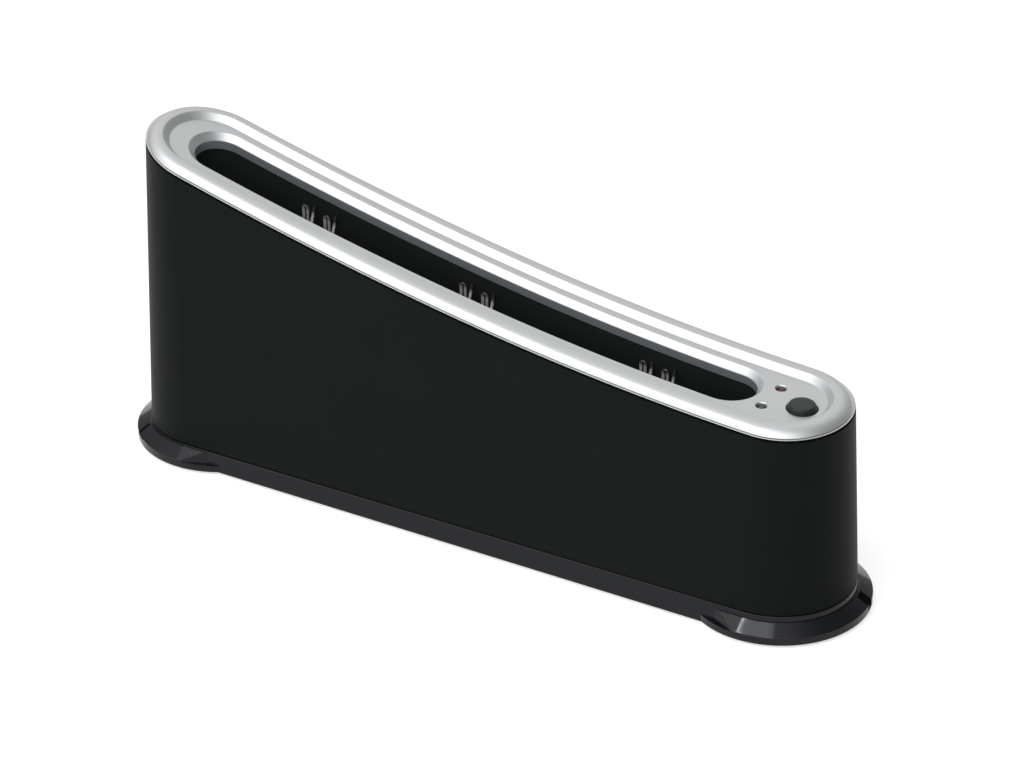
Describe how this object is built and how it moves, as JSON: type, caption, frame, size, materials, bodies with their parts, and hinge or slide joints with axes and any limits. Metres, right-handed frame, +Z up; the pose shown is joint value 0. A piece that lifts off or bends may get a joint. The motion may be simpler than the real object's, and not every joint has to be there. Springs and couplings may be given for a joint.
{
  "type": "thermal binding machine",
  "caption": "Desktop thermal binder: a tall black housing on flared feet with a concave silver bezel round a long binding slot, wire guides inside, a push button and indicator lamps.",
  "frame": {"origin": "on the table, under the middle of the machine's footprint", "axes": "+X along the machine towards the controls at its low end, +Y towards the rear where the cord enters, +Z up"},
  "size_m": [0.422, 0.092, 0.1774],
  "materials": {
    "body_black": "fine satin moulding",
    "base_black": "satin moulding",
    "silver": "satin metallic paint on moulding",
    "dark_grey": "satin",
    "rubber_black": "matt",
    "steel_sheet": "zinc plated",
    "plate_aluminium": "dull anodised",
    "wire_steel": "bright spring wire",
    "screw_steel": "zinc plated",
    "insulation": "ceramic fibre board",
    "element_film": "amber film",
    "led_red": "unlit tinted lens",
    "led_grey": "unlit smoked lens",
    "board_green": "solder mask",
    "component_black": "moulded",
    "component_grey": "moulded",
    "lead_jacket": "silicone sleeve",
    "spacer_nylon": "natural nylon"
  },
  "bodies": {
    "housing": {"base_plinth": "base_black", "base_screws": "screw_steel", "bezel_screws": "screw_steel", "board_screws": "screw_steel", "body_shell": "body_black", "bracket_screws": "screw_steel", "button_spring": "wire_steel", "capacitor": "component_black", "chute_front": "dark_grey", "chute_rear": "dark_grey", "chute_screws": "screw_steel", "control_board": "board_green", "cord_grommet": "rubber_black", "guide_brackets": "steel_sheet", "heater_element": "element_film", "heater_leads": "lead_jacket", "heater_tray": "steel_sheet", "heating_plate": "plate_aluminium", "insulation_pad": "insulation", "led_power": "led_red", "led_ready": "led_grey", "led_spacers": "spacer_nylon", "plate_standoffs": "steel_sheet", "push_switch": "component_black", "relay": "component_grey", "rubber_feet": "rubber_black", "standoff_nuts": "screw_steel", "terminal_block": "component_grey", "thermal_fuse": "component_grey", "thermostat": "component_black", "top_bezel": "silver", "tray_screws": "screw_steel", "wire_guide_left": "wire_steel", "wire_guide_middle": "wire_steel", "wire_guide_right": "wire_steel"},
    "button": {"power_button": "dark_grey", "switch_plunger": "component_grey"}
  },
  "joints": [
    {"name": "button_press", "type": "slide", "parent": "housing", "child": "button", "axis": [-0.0484, 0, -0.9988], "range_m": [0, 0.002], "stiffness_N_per_m": 600, "springref_m": -0.001, "deforming": ["button_spring"]}
  ]
}
